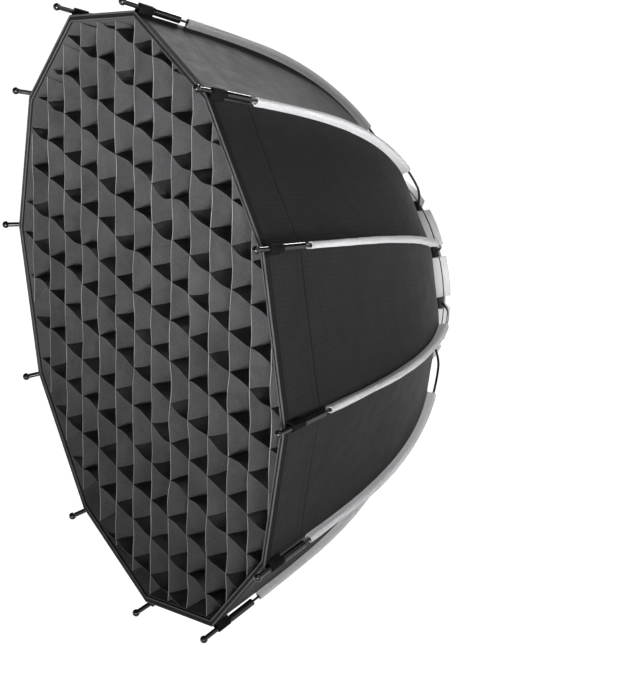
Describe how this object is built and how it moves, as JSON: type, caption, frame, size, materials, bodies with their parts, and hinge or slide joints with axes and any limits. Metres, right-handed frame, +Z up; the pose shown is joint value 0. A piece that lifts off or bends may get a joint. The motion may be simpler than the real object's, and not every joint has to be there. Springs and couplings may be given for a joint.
{
  "type": "octabox",
  "caption": "Deep folding softbox with ribbed black cloth shell, hinged rods on a hub ring, egg-crate grid, front diffuser and a three-lug light mount.",
  "frame": {"origin": "on the light axis, in the plane where the light's front face seats", "axes": "+Y runs back into the light along the axis, the mouth faces -Y, +Z is up with a flat side on top"},
  "size_m": [0.648, 0.3409, 0.648],
  "materials": {
    "rod": "black coated spring rod, satin",
    "rib_metal": "black lacquered metal, glossy",
    "sleeve_cloth": "light grey satin weave",
    "shell_cloth": "black ripstop, silver inside",
    "hub_casing": "light grey, fine grain",
    "hub_plate": "bead-blasted",
    "bayonet_alloy": "machined, satin",
    "trim_rubber": "matte black",
    "steel": "plated",
    "diffuser_cloth": "white translucent weave",
    "strap_elastic": "white elastic webbing",
    "grid_cloth": "black cloth with grey edges"
  },
  "bodies": {
    "hub": {"hub_ring": "hub_casing", "hub_trim_ring": "trim_rubber", "hub_front_plate": "hub_plate", "hub_fasteners": "steel", "bayonet_flange": "bayonet_alloy", "bayonet_spigot": "bayonet_alloy", "inner_baffle": "diffuser_cloth", "baffle_straps": "strap_elastic"},
    "rib_01": {"rib_rod_01": "rod", "rib_tip_01": "rib_metal", "rib_sleeve_01": "sleeve_cloth", "shell_panel_01": "shell_cloth"},
    "rib_02": {"rib_rod_02": "rod", "rib_tip_02": "rib_metal", "rib_sleeve_02": "sleeve_cloth", "shell_panel_02": "shell_cloth"},
    "rib_03": {"rib_rod_03": "rod", "rib_tip_03": "rib_metal", "rib_sleeve_03": "sleeve_cloth", "shell_panel_03": "shell_cloth"},
    "rib_04": {"rib_rod_04": "rod", "rib_tip_04": "rib_metal", "rib_sleeve_04": "sleeve_cloth", "shell_panel_04": "shell_cloth"},
    "rib_05": {"rib_rod_05": "rod", "rib_tip_05": "rib_metal", "rib_sleeve_05": "sleeve_cloth", "shell_panel_05": "shell_cloth"},
    "rib_06": {"rib_rod_06": "rod", "rib_tip_06": "rib_metal", "rib_sleeve_06": "sleeve_cloth", "shell_panel_06": "shell_cloth"},
    "rib_07": {"rib_rod_07": "rod", "rib_tip_07": "rib_metal", "rib_sleeve_07": "sleeve_cloth", "shell_panel_07": "shell_cloth"},
    "rib_08": {"rib_rod_08": "rod", "rib_tip_08": "rib_metal", "rib_sleeve_08": "sleeve_cloth", "shell_panel_08": "shell_cloth"},
    "rib_09": {"rib_rod_09": "rod", "rib_tip_09": "rib_metal", "rib_sleeve_09": "sleeve_cloth", "shell_panel_09": "shell_cloth"},
    "rib_10": {"rib_rod_10": "rod", "rib_tip_10": "rib_metal", "rib_sleeve_10": "sleeve_cloth", "shell_panel_10": "shell_cloth"},
    "rib_11": {"rib_rod_11": "rod", "rib_tip_11": "rib_metal", "rib_sleeve_11": "sleeve_cloth", "shell_panel_11": "shell_cloth"},
    "rib_12": {"rib_rod_12": "rod", "rib_tip_12": "rib_metal", "rib_sleeve_12": "sleeve_cloth", "shell_panel_12": "shell_cloth"},
    "diffuser": {"front_diffuser": "diffuser_cloth"},
    "grid": {"grid_border": "grid_cloth", "grid_strips_long": "grid_cloth", "grid_strips_cross": "grid_cloth"}
  },
  "joints": [
    {"name": "rib_fold_01", "type": "hinge", "parent": "hub", "child": "rib_01", "pos_m": [0.02588, -0.02, 0.09659], "axis": [0.9659, 0, -0.2588], "range_deg": [0, 37], "deforming": ["shell_panel_01", "baffle_straps", "front_diffuser", "grid_border", "grid_strips_long", "grid_strips_cross"]},
    {"name": "rib_fold_02", "type": "hinge", "parent": "hub", "child": "rib_02", "pos_m": [0.07071, -0.02, 0.07071], "axis": [0.7071, 0, -0.7071], "range_deg": [0, 37], "deforming": ["shell_panel_02"]},
    {"name": "rib_fold_03", "type": "hinge", "parent": "hub", "child": "rib_03", "pos_m": [0.09659, -0.02, 0.02588], "axis": [0.2588, 0, -0.9659], "range_deg": [0, 37], "deforming": ["shell_panel_03"]},
    {"name": "rib_fold_04", "type": "hinge", "parent": "hub", "child": "rib_04", "pos_m": [0.09659, -0.02, -0.02588], "axis": [-0.2588, 0, -0.9659], "range_deg": [0, 37], "deforming": ["shell_panel_04"]},
    {"name": "rib_fold_05", "type": "hinge", "parent": "hub", "child": "rib_05", "pos_m": [0.07071, -0.02, -0.07071], "axis": [-0.7071, 0, -0.7071], "range_deg": [0, 37], "deforming": ["shell_panel_05"]},
    {"name": "rib_fold_06", "type": "hinge", "parent": "hub", "child": "rib_06", "pos_m": [0.02588, -0.02, -0.09659], "axis": [-0.9659, 0, -0.2588], "range_deg": [0, 37], "deforming": ["shell_panel_06"]},
    {"name": "rib_fold_07", "type": "hinge", "parent": "hub", "child": "rib_07", "pos_m": [-0.02588, -0.02, -0.09659], "axis": [-0.9659, 0, 0.2588], "range_deg": [0, 37], "deforming": ["shell_panel_07"]},
    {"name": "rib_fold_08", "type": "hinge", "parent": "hub", "child": "rib_08", "pos_m": [-0.07071, -0.02, -0.07071], "axis": [-0.7071, 0, 0.7071], "range_deg": [0, 37], "deforming": ["shell_panel_08"]},
    {"name": "rib_fold_09", "type": "hinge", "parent": "hub", "child": "rib_09", "pos_m": [-0.09659, -0.02, -0.02588], "axis": [-0.2588, 0, 0.9659], "range_deg": [0, 37], "deforming": ["shell_panel_09"]},
    {"name": "rib_fold_10", "type": "hinge", "parent": "hub", "child": "rib_10", "pos_m": [-0.09659, -0.02, 0.02588], "axis": [0.2588, 0, 0.9659], "range_deg": [0, 37], "deforming": ["shell_panel_10"]},
    {"name": "rib_fold_11", "type": "hinge", "parent": "hub", "child": "rib_11", "pos_m": [-0.07071, -0.02, 0.07071], "axis": [0.7071, 0, 0.7071], "range_deg": [0, 37], "deforming": ["shell_panel_11"]},
    {"name": "rib_fold_12", "type": "hinge", "parent": "hub", "child": "rib_12", "pos_m": [-0.02588, -0.02, 0.09659], "axis": [0.9659, 0, 0.2588], "range_deg": [0, 37], "deforming": ["shell_panel_12"]},
    {"name": "diffuser_off", "type": "slide", "parent": "hub", "child": "diffuser", "axis": [0, -1, 0], "range_m": [0, 0.34]},
    {"name": "grid_off", "type": "slide", "parent": "hub", "child": "grid", "axis": [0, -1, 0], "range_m": [0, 0.42]}
  ],
  "couplings": [
    {"joint": "rib_fold_02", "follows": "rib_fold_01", "ratio": 1},
    {"joint": "rib_fold_03", "follows": "rib_fold_01", "ratio": 1},
    {"joint": "rib_fold_04", "follows": "rib_fold_01", "ratio": 1},
    {"joint": "rib_fold_05", "follows": "rib_fold_01", "ratio": 1},
    {"joint": "rib_fold_06", "follows": "rib_fold_01", "ratio": 1},
    {"joint": "rib_fold_07", "follows": "rib_fold_01", "ratio": 1},
    {"joint": "rib_fold_08", "follows": "rib_fold_01", "ratio": 1},
    {"joint": "rib_fold_09", "follows": "rib_fold_01", "ratio": 1},
    {"joint": "rib_fold_10", "follows": "rib_fold_01", "ratio": 1},
    {"joint": "rib_fold_11", "follows": "rib_fold_01", "ratio": 1},
    {"joint": "rib_fold_12", "follows": "rib_fold_01", "ratio": 1},
    {"joint": "diffuser_off", "follows": "rib_fold_01", "m_per_rad": 0.5},
    {"joint": "grid_off", "follows": "rib_fold_01", "m_per_rad": 0.62}
  ]
}
